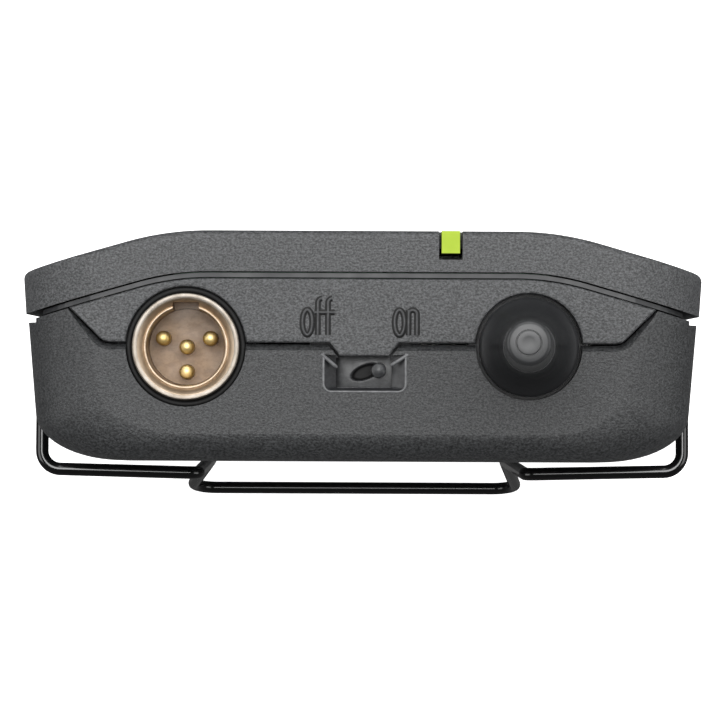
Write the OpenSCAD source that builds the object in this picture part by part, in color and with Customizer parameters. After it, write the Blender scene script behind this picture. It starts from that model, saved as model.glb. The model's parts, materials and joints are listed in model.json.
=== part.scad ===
// Wireless bodypack transmitter: a belt-worn case with a battery door on its
// lower front, a wire belt clip behind, and the connector, power switch and
// flexible antenna on its top end. Upright, bottom face at Z = 0, front face
// towards -Y, antenna side towards -X.

/* [Case] */
// Width across the front cover
case_w = 64; // [60:0.5:80]
// Height from the bottom face to the top face
case_h = 110; // [104:0.5:135]
// Depth from the front face to the back face
case_d = 21.6; // [21.4:0.1:26]
// Corner radius seen from the front
plan_r = 7.5; // [4:0.5:10]
// Side wall thickness of the rear case
side_wall = 1.8; // [1.6:0.1:2.4]
// End wall thickness at top and bottom
end_wall = 2.2; // [1.8:0.1:2.6]
// How far the rear case stands in from the cover's side
rear_inset = 0.5; // [0.2:0.1:1]
// Draft of the rear case's side over its depth
rear_draft = 0.7; // [0.2:0.1:1.5]
// Width of the rounded back corner
corner_w = 8; // [5:0.5:10]
// Depth of the rounded back corner
corner_d = 4.5; // [3:0.5:6]
// Radius between an end face and the back
end_fillet = 3; // [1:0.5:4]

/* [Front cover] */
// Half width of the flat middle of the front
flat_half = 14.3; // [12:0.1:19]
// Radius where the flat turns into the side slope
arch_r = 28; // [20:1:35]
// Angle of the side slope
arch_a = 16; // [10:0.2:18]
// Depth of the cover's edge
cover_t = 3.85; // [3.4:0.05:4.2]
// Thickness of the cover's skin
skin_t = 1.6; // [1.2:0.1:2]
// Thickness of the seal under the cover
seal_t = 0.4; // [0.3:0.05:0.7]
// Height of the open groove along each side
side_gap = 0.8; // [0.5:0.1:1.2]
// Depth of the open groove along each side
groove_d = 1.4; // [1:0.1:1.6]
// Thickness of the front case's deck
deck_t = 1.2; // [1:0.1:1.6]

/* [End face seam] */
// Half width of the flat seam between front and rear case
seam_half = 24.1; // [22:0.5:26]
// Where the flat seam lies, from mid depth
seam_y = -0.3; // [-0.6:0.1:0.2]
// Corner radius of the seam
seam_r = 1.5; // [0.5:0.5:2.5]

/* [Connector] */
// Distance of the connector from the middle
connector_x = 16.46; // [14:0.1:19]
// Outer diameter of the metal shell
shell_od = 10.07; // [8:0.01:12.2]
// Diameter of the socket that the plug enters
socket_d = 7.2; // [6:0.1:8.8]
// Depth of the socket down to the insert
socket_depth = 6; // [5:0.5:8]
// Width of the keyway
key_w = 2.45; // [1.5:0.05:3]
// Diameter of a contact pin
contact_d = 1.4; // [1:0.1:1.6]
// Radius of the circle of three contact pins
contact_r = 2.34; // [1.9:0.02:2.5]
// Black gap round the shell
shell_gap = 0.56; // [0.3:0.02:0.8]

/* [Antenna] */
// Distance of the antenna from the middle
antenna_x = 15.5; // [13:0.1:18]
// Diameter of the domed boot
boot_d = 9.3; // [8:0.1:11.2]
// Height of the antenna above the top face
antenna_h = 50; // [40:1:80]
// Diameter of the whip at its tip
tip_d = 3.9; // [3:0.1:4.7]
// Inward lean of the whip
lean_a = 1.8; // [0:0.2:4]

/* [Power switch] */
// Length of the switch's window across the top face
window_l = 5.2; // [4.4:0.1:6.4]
// Height of the window from front to back
window_w = 2.75; // [2.2:0.05:3.4]
// Travel of the slider between on and off
slide_travel = 2; // [1.5:0.1:2.2]
// Diameter of the slider's nub
nub_d = 1.6; // [1.2:0.1:1.9]

/* [Batteries and door] */
// Diameter of a cell
cell_d = 14.5; // [12:0.1:14.8]
// Length of a cell with its nub
cell_l = 50.5; // [42:0.5:52]
// Space for a contact spring under a cell
spring_h = 3.8; // [3.6:0.1:5]
// Diameter of the door's hinge pins
hinge_d = 1.8; // [1.4:0.1:2]
// Running clearance of pins and pivots, radial
run_gap = 0.05; // [0.02:0.01:0.1]
// Inward travel of a door latch
latch_travel = 0.8; // [0.4:0.1:1]

/* [Belt clip] */
// Diameter of the clip wire
wire_d = 1.3; // [1:0.05:1.6]
// Half spacing of the arms at the elbows
arm_half = 16.3; // [14:0.1:18]
// Half spacing of the arms at the free end
flare_half = 17.7; // [15:0.1:20]
// Distance of the elbows below the top face
elbow_drop = 35; // [30:1:40]
// Length of the arms from the elbows to the free end
arm_l = 50; // [40:1:60]
// How far the free end stands off the back, to the wire's middle
flare_off = 4.1; // [3:0.1:5]
// Sideways set of the free end
clip_set = 0.9; // [0:0.1:1.5]

/* [Display and buttons] */
// Width of the display window
lens_w = 26; // [20:0.5:30]
// Height of the display window
lens_h = 15; // [12:0.5:18]
// Width of a push button
button_w = 9; // [6:0.5:11]
// Height of a push button
button_h = 4.5; // [3.5:0.5:6]
// Travel of a push button
button_travel = 0.3; // [0.2:0.05:0.3]

/* [Hidden] */
$fn = 64;

half_w = case_w / 2;
front_y = -case_d / 2;
back_y = case_d / 2;
eps = 0.01;
fit_gap = 0.15;          // between fixed pieces of the case
move_gap = 0.3;          // between a moving piece and the case
cover_draft = 0.3;
groove_half = half_w - groove_d;
rear_half = half_w - rear_inset;
seal_gap = 0.15;
seal_off = cover_t + seal_gap;
deck_off = seal_off + seal_t + 0.1;
edge_y = arch_y(cover_t, half_w - cover_draft);
rear_top = edge_y + side_gap;

// Battery bay, door and hinge
tray_wall = 1;
tray_z0 = end_wall + 0.2;
cell_z0 = tray_z0 + tray_wall + spring_h;
cell_y = front_y + cover_t + cell_d / 2 + 0.1;
cell_x = cell_d / 2 + 0.15;
tray_z1 = cell_z0 + cell_l + 0.4 + tray_wall;
tray_half = 2 * cell_x + tray_wall;
tray_back = cell_y + cell_d / 2 + 0.3 + tray_wall;
tray_front = front_y + deck_off + deck_t;
door_top = tray_z1 + 1.1;
door_gap = 0.4;
cover_z0 = door_top + door_gap;
hinge_y = front_y + 3.4;
hinge_z = 2.6;
ear_x0 = 8.5;
ear_w = 3;
knuckle_x0 = ear_x0 + ear_w + move_gap;
knuckle_w = 3;
knuckle_r = 2;
lip_half = half_w - 3;
lip_y = edge_y - 0.1;
lip_wall_y = lip_y + 0.6;
deck_z0 = hinge_z + 5;
latch_z = door_top - 11;
latch_l = 10;

// Boards
main_y = -1.4;
board_t = 1;
main_half = min(groove_half - 2.6, slope_x(deck_off + deck_t, main_y - 0.9));
main_z0 = cover_z0 - 1;
main_z1 = case_h - 16;
panel_board_t = 0.8;
panel_board_y = front_y + deck_off - panel_board_t;
panel_half = flat_half + 3.4;
panel_z0 = cover_z0 + 3;
panel_z1 = case_h - 4.5;
lens_z = case_h - 26;
button_z = lens_z - lens_h / 2 - 8;
button_x = 8.5;
button_front = front_y + 0.1;
tact_t = 1;
header_l = 12;
header_z = cover_z0 + 6;

gain_x = tray_half + 6.2;
gain_z = latch_z;

// Top end
shell_r = shell_od / 2;
shell_top = case_h + 0.3;
shell_l = 14;
shell_room = 0.165;      // between the shell and the deck
shell_y = front_y + deck_off + deck_t + shell_room + shell_r;
nut_ring = 1.6;
insert_z = shell_top - socket_depth;
boot_r = boot_d / 2;
boot_y = 0;
boot_hole_r = boot_r + 0.32;
boot_bottom = case_h - end_wall - 1.2;
boot_h = 7.5;
core_r = 0.9;
window_x = -0.12;
window_y = 2.42;
pocket_deep = 1.2;
pocket_x = -0.2;
pocket_l = window_l + 2.5;
pocket_w = window_w + 0.7;
pocket_y = window_y + 0.1;
nub_x = -1.53;
slider_z = case_h - end_wall - 0.9;
slider_t = 0.7;
led_x = -8.17;
led_w = 1.7;
led_slot_w = 2.2;
led_y = front_y + 2.1;

// Screws
screw_x = half_w - 7.5;
screw_zs = [8, case_h - 10];
screw_head_d = 4.4;
screw_d = 2.2;
post_r = 2.7;
post_y = arch_y(deck_off + deck_t, screw_x + post_r) + 1.7;
cover_screw_x = half_w - 7;
cover_screw_zs = [cover_z0 + 5.5, case_h - 18];
cover_screw_d = 1.6;
cover_head_d = 2.6;
standoff_x = 19.5;
standoff_zs = [main_z0 + 3, main_z1 - 3.2];

// Belt clip
clip_y = 4;
clip_z = case_h - elbow_drop - 1.5;
wire_r = wire_d / 2;
leg_gap = 0.255;         // between a leg and the case's side
leg_half = rear_half - rear_draft * (clip_y - rear_top) / (back_y - corner_d - rear_top) + leg_gap + wire_r;
pivot_boss_r = 2;
pivot_in = rear_half - side_wall - 3.2;
wire_bend = 1.1;
end_bend = 2.4;
clip_rest_z = case_h - elbow_drop - 35;
clip_end_z = case_h - elbow_drop - arm_l;

CASE = "#3b3d3f";
METAL = "#c9c4b8";
BOARD = "#1f5a3a";

// ---- Outlines ----

// Half of the front's arch, d below the front face, out to x = xe
function arch(d, xe) = let (r = arch_r - d, x1 = flat_half + r * sin(arch_a))
    concat([for (i = [0:8]) let (b = arch_a * i / 8)
        [flat_half + r * sin(b), front_y + arch_r - r * cos(b)]], [[xe, arch_y(d, xe)]]);
// Where the arch's straight slope lies at x, d below the front face
function arch_y(d, x) = let (r = arch_r - d)
    front_y + arch_r - r * cos(arch_a) + (x - flat_half - r * sin(arch_a)) * tan(arch_a);
// Where the slope at depth d reaches y
function slope_x(d, y) = let (r = arch_r - d)
    flat_half + r * sin(arch_a) + (y - front_y - arch_r + r * cos(arch_a)) / tan(arch_a);
function reversed(p) = [for (i = [len(p) - 1:-1:0]) p[i]];
function both_sides(p) = concat(p, [for (q = reversed(p)) [-q[0], q[1]]]);
function arc(c, rx, ry, a0, a1, n = 10) = [for (i = [0:n]) let (a = a0 + (a1 - a0) * i / n)
    [c[0] + rx * cos(a), c[1] + ry * sin(a)]];

// The arched plate from depth d0 to depth d1, out to x = xe
module arch_plate(d0, d1, xe) {
    polygon(both_sides(concat(arch(d0, xe), reversed(arch(d1, xe)))));
}
// Everything behind the arched surface at depth d
module behind_arch(d) {
    polygon(both_sides(concat(arch(d, half_w + 4), [[half_w + 4, back_y + 4]])));
}
// The front cover's and door's edge profile
module cover_section() {
    side_y = arch_y(0, half_w);
    polygon(both_sides(concat(arch(0, half_w - 0.7),
        arc([half_w - 0.8, side_y + 0.66], 0.8, 0.8, -70, 0, 4),
        reversed(arch(cover_t, half_w - cover_draft)))));
}
// The seam's trapezoid, grown by g
module seam_shape(g) {
    c = [seam_half - seam_r * tan(22.5), seam_y - seam_r];
    tip = seam_half + case_d / 2;
    polygon(both_sides(concat(arc(c, seam_r + g, seam_r + g, 90, 45, 5),
        [[tip + g * sqrt(2), seam_y - case_d / 2]])));
}
// The rear case's outline, t inside its skin
module rear_outline(t) {
    polygon(both_sides(concat(
        t > 0 ? [[rear_half - t, front_y - 1]]
            : concat(arch(deck_off + 0.05, groove_half), [[groove_half, rear_top], [rear_half, rear_top]]),
        arc([rear_half - rear_draft - corner_w, back_y - corner_d], corner_w - t, corner_d - t, 0, 90))));
}
// The front view's rounded outline as a prism along Y, t inside the sides and ends
module plan_prism(t = 0, te = 0) {
    r = max(plan_r - t, 1);
    w = half_w - t - r;
    translate([0, case_d, 0]) rotate([90, 0, 0]) linear_extrude(2 * case_d)
        polygon(concat(arc([w, case_h - te - r], r, r, 0, 90), arc([-w, case_h - te - r], r, r, 90, 180),
            arc([-w, te + r], r, r, 180, 270), arc([w, te + r], r, r, 270, 360)));
}
// The side view with its two rounded back edges as a prism along X
module side_prism() {
    rotate([90, 0, 90]) translate([0, 0, -half_w - 1]) linear_extrude(case_w + 2)
        polygon(concat([[front_y - 1, 0]], arc([back_y - end_fillet, end_fillet], end_fillet, end_fillet, 270, 360),
            arc([back_y - end_fillet, case_h - end_fillet], end_fillet, end_fillet, 0, 90),
            [[front_y - 1, case_h]]));
}
// A box from one corner to the opposite one
module span_box(a, b) {
    translate(a) cube(b - a);
}
// A round bar along Y, from y0 to y1
module bar_y(r, x, z, y0, y1) {
    translate([x, y1, z]) rotate([90, 0, 0]) cylinder(r = r, h = y1 - y0);
}
// A round bar along X, from x0 to x1
module bar_x(r, y, z, x0, x1) {
    translate([x0, y, z]) rotate([0, 90, 0]) cylinder(r = r, h = x1 - x0);
}

// ---- Swept wire ----

function unit(v) = v / norm(v);
// Points of a rounded corner of radius r at b, between a and c
function bend(a, b, c, r, n = 5) = let (u = unit(a - b), v = unit(c - b), h = acos(u * v) / 2,
        m = b + unit(u + v) * r / sin(h), p = b + u * r / tan(h), q = b + v * r / tan(h))
    [for (i = [0:n]) let (t = i / n, w = unit((p - m) * (1 - t) + (q - m) * t)) m + w * r];
// The path p with each inner corner rounded to its own radius
function rounded_path(p, r) = concat([p[0]], [for (i = [1:len(p) - 2])
    each bend(p[i - 1], p[i], p[i + 1], r[i - 1])], [p[len(p) - 1]]);
function tangent(p, i) = unit(p[min(i + 1, len(p) - 1)] - p[max(i - 1, 0)]);
// The part of u that is square to t
function square_to(u, t) = unit(u - (u * t) * t);
module wire(p, r, sides = 10) {
    n = len(p);
    ups = [for (i = 0, u = square_to([0.3, 0.5, 0.8], tangent(p, 0)); i < n;
        i = i + 1, u = square_to(u, tangent(p, min(i, n - 1)))) u];
    rings = [for (i = [0:n - 1], k = [0:sides - 1]) let (a = 360 * k / sides)
        p[i] + r * (cos(a) * ups[i] + sin(a) * cross(tangent(p, i), ups[i]))];
    polyhedron(rings, concat([[for (k = [0:sides - 1]) k]],
        [for (i = [0:n - 2], k = [0:sides - 1]) let (a = i * sides + k, b = i * sides + (k + 1) % sides)
            each [[a, a + sides, b], [b, a + sides, b + sides]]],
        [[for (k = [sides - 1:-1:0]) (n - 1) * sides + k]]));
}
// Path of a tapering coil spring, h tall, standing on a flat coil
function coil(r0, r1, h, turns) = [for (i = [0:turns * 12]) let (t = i / (turns * 12), r = r0 + (r1 - r0) * t)
    [r * cos(360 * turns * t), r * sin(360 * turns * t), h * t]];

// ---- Case ----

module rear_case() {
    color(CASE) difference() {
        union() {
            difference() {
                intersection() {
                    linear_extrude(case_h) rear_outline(0);
                    plan_prism(rear_inset);
                    side_prism();
                }
                intersection() {
                    translate([0, 0, end_wall]) linear_extrude(case_h - 2 * end_wall) rear_outline(side_wall);
                    plan_prism(rear_inset + side_wall, end_wall);
                }
                // Seats for the front case's rails, and room over the bottom wall for the door's lip
                intersection() {
                    span_box([-half_w, front_y, end_wall], [half_w, 0.4, case_h - end_wall]);
                    plan_prism(half_w - groove_half - fit_gap, end_wall);
                }
                span_box([-half_w, front_y, -1], [half_w, lip_wall_y, deck_z0 - 0.2]);
                translate([0, 0, case_h - end_wall - 1]) linear_extrude(end_wall + 2) seam_shape(fit_gap);
            }
            for (s = [-1, 1]) {
                for (z = screw_zs) bar_y(post_r, s * screw_x, z, post_y, back_y - side_wall + 0.5);
                bar_x(pivot_boss_r, clip_y, clip_z, s > 0 ? pivot_in : -rear_half + 1.2,
                    s > 0 ? rear_half - 1.2 : -pivot_in);
                // Ears that carry the door's hinge pins
                translate([s > 0 ? ear_x0 : -ear_x0 - ear_w, 0, 0]) {
                    bar_x(hinge_d / 2 + 0.9, hinge_y, hinge_z, 0, ear_w);
                    span_box([0, hinge_y, 0.8], [ear_w, lip_wall_y + 0.5, end_wall + 0.2]);
                }
            }
        }
        for (s = [-1, 1]) {
            for (z = screw_zs) {
                bar_y(screw_d / 2 + 0.1, s * screw_x, z, post_y - 1, back_y + 1);
                bar_y(screw_head_d / 2 + 0.2, s * screw_x, z, back_y - 2.2, back_y + 1);
            }
            bar_x(wire_r + run_gap, clip_y, clip_z, s > 0 ? pivot_in - 1 : -half_w, s > 0 ? half_w : -pivot_in + 1);
            bar_x(hinge_d / 2 + 0.02, hinge_y, hinge_z, s > 0 ? ear_x0 - 1 : -ear_x0 - ear_w - 1,
                s > 0 ? ear_x0 + ear_w + 1 : -ear_x0 + 1);
        }
        top_holes();
        shell_passage();
        switch_pocket();
        translate([0, 0, case_h - end_wall - 1]) linear_extrude(end_wall + 2) tongue_shape(fit_gap);
    }
}

// The round openings in the top wall, shared by both case halves
module top_holes() {
    translate([connector_x, shell_y, case_h - end_wall - 1]) cylinder(r = shell_r + shell_gap, h = end_wall + 2);
    translate([-antenna_x, boot_y, case_h - end_wall - 1]) cylinder(r = boot_hole_r, h = end_wall + 2);
}

// The shell's way through what lies inside the case
module shell_passage() {
    translate([connector_x, shell_y, shell_top - shell_l - 1]) cylinder(r = shell_r + 0.25, h = shell_l);
}

// Room for the shell, the flanges and the nut under the top wall
module flange_room() {
    shell_passage();
    translate([connector_x, shell_y, case_h - end_wall - 3.4]) cylinder(r = shell_r + 1.85, h = 3.4);
    translate([-antenna_x, boot_y, boot_bottom - 0.4]) cylinder(r = boot_hole_r + 0.9, h = case_h - end_wall + 0.4 - boot_bottom);
}

// The finger recess in the top wall and the slider's window in its floor
module switch_pocket() {
    translate([pocket_x, pocket_y, case_h - pocket_deep])
        linear_extrude(pocket_deep + 1) polygon(both_sides(concat([[pocket_l / 2, -pocket_w / 2]],
            arc([pocket_l / 2 - 0.7, pocket_w / 2 - 0.7], 0.7, 0.7, 0, 90, 4))));
    slider_window();
}
module slider_window() {
    translate([window_x, window_y, case_h - end_wall / 2]) cube([window_l, window_w, end_wall + 2], center = true);
}

// The tongue of the front case that closes the recess towards the front, grown by g
module tongue_shape(g) {
    tongue_y = window_y - window_w / 2 - 0.12;
    polygon([[-3.4 - g, seam_y - 0.5], [3.1 + g, seam_y - 0.5], [3.1 + g, seam_y + g], [2.15 + g / 2, tongue_y + g],
        [-2.5 - g / 2, tongue_y + g], [-3.4 - g, seam_y + g]]);
}

module front_case() {
    color(CASE) difference() {
        union() {
            intersection() {
                union() {
                    // Deck behind the cover and the door
                    translate([0, 0, deck_z0]) linear_extrude(case_h - end_wall - deck_z0)
                        arch_plate(deck_off, deck_off + deck_t, groove_half);
                    // Rails along both sides
                    for (s = [-1, 1]) translate([0, 0, deck_z0]) linear_extrude(case_h - end_wall - deck_z0)
                        polygon([[s * groove_half, arch_y(deck_off, groove_half)], [s * groove_half, 0.3],
                            [s * (groove_half - 1.2), 0.3], [s * (groove_half - 1.2), arch_y(deck_off, groove_half - 1.2)]]);
                }
                plan_prism(half_w - groove_half, end_wall + 0.1);
            }
            // Top wall's front part, with the tongue that closes the switch pocket
            translate([0, 0, case_h - end_wall]) linear_extrude(end_wall - 0.05) intersection() {
                behind_arch(deck_off);
                union() {
                    seam_shape(0);
                    tongue_shape(0);
                }
            }
            translate([0, 0, case_h - end_wall - 0.8]) linear_extrude(0.85) intersection() {
                arch_plate(deck_off, deck_off + deck_t, groove_half - 3);
                square([2 * flat_half, case_d], center = true);
            }
            for (s = [-1, 1]) {
                for (z = screw_zs) bar_y(post_r - 0.2, s * screw_x, z,
                    arch_y(deck_off + deck_t / 2, screw_x + 1), post_y - 0.05);
                for (z = standoff_zs) bar_y(1.6, s * standoff_x, z, front_y + deck_off + deck_t / 2 + 0.6, main_y);
            }
        }
        // Opening for the battery tray
        span_box([-tray_half - 0.2, front_y, 0], [tray_half + 0.2, back_y, tray_z1 + 0.2]);
        for (s = [-1, 1]) {
            for (z = screw_zs) bar_y(screw_d / 2 + 0.02, s * screw_x, z, post_y - 1.8, post_y + 1);
            for (z = standoff_zs) bar_y(cover_screw_d / 2 + 0.02, s * standoff_x, z, main_y - 2, main_y + 1);
            for (z = cover_screw_zs) bar_y(cover_screw_d / 2 + 0.1, s * cover_screw_x, z, front_y, 0);
        }
        bar_y(2.4, gain_x, gain_z, front_y, main_y - 2);
        span_box([-header_l / 2 - 0.3, front_y, header_z - 1.4], [header_l / 2 + 0.3, 0, header_z + 1.4]);
        top_holes();
        flange_room();
        slider_window();
    }
}

module front_cover() {
    color(CASE) difference() {
        union() {
            difference() {
                intersection() {
                    translate([0, 0, cover_z0]) linear_extrude(case_h - cover_z0) cover_section();
                    plan_prism();
                }
                intersection() {
                    translate([0, 0, cover_z0 + 2]) linear_extrude(case_h - cover_z0 - 4)
                        arch_plate(skin_t, cover_t + 2, half_w - 3);
                    plan_prism(3, 2);
                }
            }
            for (s = [-1, 1], z = cover_screw_zs)
                bar_y(1.9, s * cover_screw_x, z, arch_y(skin_t - 0.5, cover_screw_x), arch_y(deck_off, cover_screw_x) - 0.7);
            // Rim that holds the display window
            span_box([-lens_w / 2 - 1, front_y + skin_t - 0.1, lens_z - lens_h / 2 - 1],
                [lens_w / 2 + 1, front_y + skin_t + 0.2, lens_z + lens_h / 2 + 1]);
        }
        span_box([-lens_w / 2, front_y - 1, lens_z - lens_h / 2], [lens_w / 2, front_y + 0.9, lens_z + lens_h / 2]);
        span_box([-lens_w / 2 + 1.5, front_y, lens_z - lens_h / 2 + 1.5], [lens_w / 2 - 1.5, front_y + 4, lens_z + lens_h / 2 - 1.5]);
        for (s = [-1, 1]) {
            translate([s * button_x, 0, button_z]) cube([button_w + 0.6, 2 * case_d, button_h + 0.6], center = true);
            for (z = cover_screw_zs) bar_y(cover_screw_d / 2 + 0.02, s * cover_screw_x, z,
                arch_y(skin_t, cover_screw_x) + 0.2, 0);
        }
        // Slot for the status light
        span_box([led_x - led_slot_w / 2, front_y - 1, case_h - 4], [led_x + led_slot_w / 2, led_y + 0.6, case_h + 1]);
    }
}

module cover_seal() {
    color("#55585a") difference() {
        intersection() {
            translate([0, 0, cover_z0 + 0.4]) linear_extrude(case_h - cover_z0 - 0.7)
                arch_plate(seal_off, seal_off + seal_t, groove_half - 0.5);
            plan_prism(half_w - groove_half + 0.5, 0.3);
        }
        intersection() {
            translate([0, 0, cover_z0 + 2]) linear_extrude(case_h - cover_z0 - 4)
                arch_plate(seal_off - 1, seal_off + seal_t + 1, half_w - 3.1);
            plan_prism(3.1, 2);
        }
    }
}

// ---- Display and buttons ----

module display_window() {
    color("#20262a") span_box([-lens_w / 2 + 0.1, front_y + 0.05, lens_z - lens_h / 2 + 0.1],
        [lens_w / 2 - 0.1, front_y + 0.85, lens_z + lens_h / 2 - 0.1]);
}

module display_panel() {
    color("#8f9c86") {
        span_box([-lens_w / 2 + 1, front_y + skin_t + 0.3, lens_z - lens_h / 2 + 0.5],
            [lens_w / 2 - 1, panel_board_y - 0.02, lens_z + lens_h / 2 - 0.5]);
    }
}

module display_board() {
    color(BOARD) difference() {
        span_box([-panel_half, panel_board_y, panel_z0], [panel_half, panel_board_y + panel_board_t, panel_z1]);
        for (s = [-1, 1]) bar_y(1.2, s * (panel_half - 2.5), panel_z1 - 2.5, front_y, 0);
    }
}

// Pin strip that joins the two boards through the deck
module board_header() {
    color("#222222") span_box([-header_l / 2, panel_board_y + panel_board_t + 0.02, header_z - 1.1],
        [header_l / 2, main_y - 0.02, header_z + 1.1]);
}

module status_light_guide() {
    color("#b2cf50") {
        span_box([led_x - led_w / 2, front_y + 0.02, case_h - 3.8], [led_x + led_w / 2, led_y, case_h - 0.02]);
        span_box([led_x - led_w / 2, front_y + skin_t + 0.2, panel_z1 - 0.2], [led_x + led_w / 2, led_y, case_h - 3]);
    }
}

module status_led() {
    color("#e8e8d8") span_box([led_x - 0.8, panel_board_y - 0.9, panel_z1 - 1.4],
        [led_x + 0.8, panel_board_y - 0.02, panel_z1 - 0.3]);
}

module push_button(x) {
    skirt_y = front_y + skin_t + 0.15;
    foot_y = panel_board_y - tact_t - 0.35;
    color("#2b2d2f") {
        translate([x - button_w / 2, button_front, button_z - button_h / 2]) cube([button_w, skirt_y + 0.4 - button_front, button_h]);
        bar_y(1, x, button_z, skirt_y, foot_y);
    }
}
module group_button() { push_button(button_x); }
module channel_button() { push_button(-button_x); }

module tact_switches() {
    color("#3a3a3c") for (s = [-1, 1])
        span_box([s * button_x - 2.2, panel_board_y - tact_t, button_z - 2.2],
            [s * button_x + 2.2, panel_board_y - 0.02, button_z + 2.2]);
}

// ---- Battery door ----

module battery_door() {
    color(CASE) difference() {
        union() {
            difference() {
                intersection() {
                    linear_extrude(door_top) cover_section();
                    plan_prism();
                }
                intersection() {
                    translate([0, 0, 8]) linear_extrude(door_top - 10) arch_plate(skin_t, cover_t + 2, half_w - 2.6);
                    plan_prism(2.6, 8);
                }
            }
            // Lip that closes the bottom face
            intersection() {
                span_box([-lip_half, hinge_y, 0.02], [lip_half, lip_y, 1.8]);
                plan_prism();
            }
            for (s = [-1, 1]) bar_x(knuckle_r, hinge_y, hinge_z, s > 0 ? knuckle_x0 : -knuckle_x0 - knuckle_w,
                s > 0 ? knuckle_x0 + knuckle_w : -knuckle_x0);
        }
        // Bevel on the lip's inner edge, so that it swings clear of the bottom wall
        translate([0, lip_y, 0]) rotate([45, 0, 0]) cube([case_w, 1.3, 1.3], center = true);
        for (s = [-1, 1]) {
            span_box([s > 0 ? ear_x0 - move_gap : -ear_x0 - ear_w - move_gap, front_y + 1.1, -1],
                [s > 0 ? ear_x0 + ear_w + move_gap : -ear_x0 + move_gap, lip_y + 1, hinge_z + 2.4]);
            bar_x(hinge_d / 2 + run_gap, hinge_y, hinge_z, s > 0 ? ear_x0 : -knuckle_x0 - knuckle_w - 1,
                s > 0 ? knuckle_x0 + knuckle_w + 1 : -ear_x0);
            // Slot for the latch
            span_box([s > 0 ? half_w - 5.2 : -half_w - 1, arch_y(0, half_w) + 0.85, latch_z - latch_l / 2 - 0.25],
                [s > 0 ? half_w + 1 : -half_w + 5.2, edge_y - 0.45, latch_z + latch_l / 2 + 0.25]);
        }
    }
}

// A squeeze latch: ribbed pad outside, stem and hook inside
module latch(s) {
    pad_y0 = arch_y(0, half_w) + 1.1;
    pad_y1 = edge_y - 0.7;
    color("#2b2d2f") mirror([s < 0 ? 1 : 0, 0, 0]) {
        difference() {
            span_box([half_w - 1.6, pad_y0, latch_z - latch_l / 2], [half_w - 0.45, pad_y1, latch_z + latch_l / 2]);
            for (i = [-3:3]) translate([half_w - 0.4, 0, latch_z + i * 1.3]) rotate([0, 45, 0])
                cube([0.5, case_d, 0.5], center = true);
        }
        span_box([half_w - 4, pad_y0 + 0.75, latch_z - 2.5], [half_w - 1.6, pad_y1, latch_z + 2.5]);
    }
}
module latch_left() { latch(-1); }
module latch_right() { latch(1); }

module hinge_pins() {
    color(METAL) for (s = [-1, 1]) bar_x(hinge_d / 2, hinge_y, hinge_z,
        s > 0 ? ear_x0 + 0.1 : -knuckle_x0 - knuckle_w + 0.2, s > 0 ? knuckle_x0 + knuckle_w - 0.2 : -ear_x0 - 0.1);
}

// ---- Batteries ----

module battery_tray() {
    bay_half = tray_half - tray_wall;
    color("#2e3032") difference() {
        span_box([-tray_half, tray_front, tray_z0], [tray_half, tray_back, tray_z1]);
        span_box([-bay_half, front_y, tray_z0 + tray_wall], [bay_half, cell_y, tray_z1 - tray_wall]);
        for (s = [-1, 1]) translate([s * cell_x, cell_y, tray_z0 + tray_wall])
            cylinder(r = cell_d / 2 + 0.15, h = tray_z1 - tray_z0 - 2 * tray_wall);
        // Seat of the bridge contact
        span_box([-cell_x - 4.1, cell_y - 2.1, tray_z0 + tray_wall - eps], [cell_x + 4.1, cell_y + 3.1, tray_z0 + tray_wall + 0.5]);
        // The bottom wall stays low, clear of the door's hinge
        span_box([-half_w, front_y, 0], [half_w, lip_wall_y + 0.6, deck_z0]);
    }
}

// A round cell with its nub up or down
module cell(s, up) {
    nub = 1;
    color("#4a4c50") translate([s * cell_x, cell_y, cell_z0]) {
        translate([0, 0, up ? 0 : nub]) cylinder(r = cell_d / 2, h = cell_l - nub);
        translate([0, 0, up ? cell_l - nub - eps : 0]) cylinder(r = 2.75, h = nub + eps);
    }
}
module battery_left() { cell(-1, true); }
module battery_right() { cell(1, false); }

module bridge_contact() {
    z = tray_z0 + tray_wall;
    color(METAL) {
        span_box([-cell_x - 4, cell_y - 2, z], [cell_x + 4, cell_y + 3, z + 0.35]);
        translate([cell_x, cell_y, z]) cylinder(r = 2, h = spring_h - 0.1);
    }
}
module contact_spring() {
    color(METAL) wire(coil(3.2, 1.9, spring_h - 0.35 - 0.8, 3), 0.3, 8);
}
module bridge_spring() {
    translate([-cell_x, cell_y, tray_z0 + tray_wall + 0.35 + 0.32]) contact_spring();
}
module top_contacts() {
    z = tray_z1 - tray_wall - 0.35;
    color(METAL) for (s = [-1, 1]) span_box([s * cell_x - 4, cell_y - 2, z], [s * cell_x + 4, cell_y + 3, z + 0.33]);
}
// ---- Belt clip ----

// One side of the clip, from its pivot to the free end
function clip_side(s) = [[s * leg_half, clip_y, clip_z], [s * leg_half, back_y + wire_r + 0.6, clip_z + 0.8],
    [s * arm_half, back_y + wire_r + 0.95, case_h - elbow_drop],
    [s * (arm_half - 0.7) + clip_set / 2, back_y + wire_r + 0.15, clip_rest_z],
    [s * flare_half + clip_set, back_y + flare_off, clip_end_z]];
function clip_end(s) = [s * (leg_half - wire_bend - 0.15), clip_y, clip_z];

module belt_clip() {
    radii = [wire_bend, wire_bend, wire_bend, 6 * wire_bend, end_bend];
    color("#141414") {
        wire(rounded_path(concat([clip_end(1)], clip_side(1), reversed(clip_side(-1)), [clip_end(-1)]),
            concat(radii, reversed(radii))), wire_r - 0.01);
        for (s = [0, 1]) mirror([s, 0, 0]) bar_x(wire_r, clip_y, clip_z, pivot_in + 0.3, leg_half - wire_bend + 0.05);
    }
}

// ---- Connector ----

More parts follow.
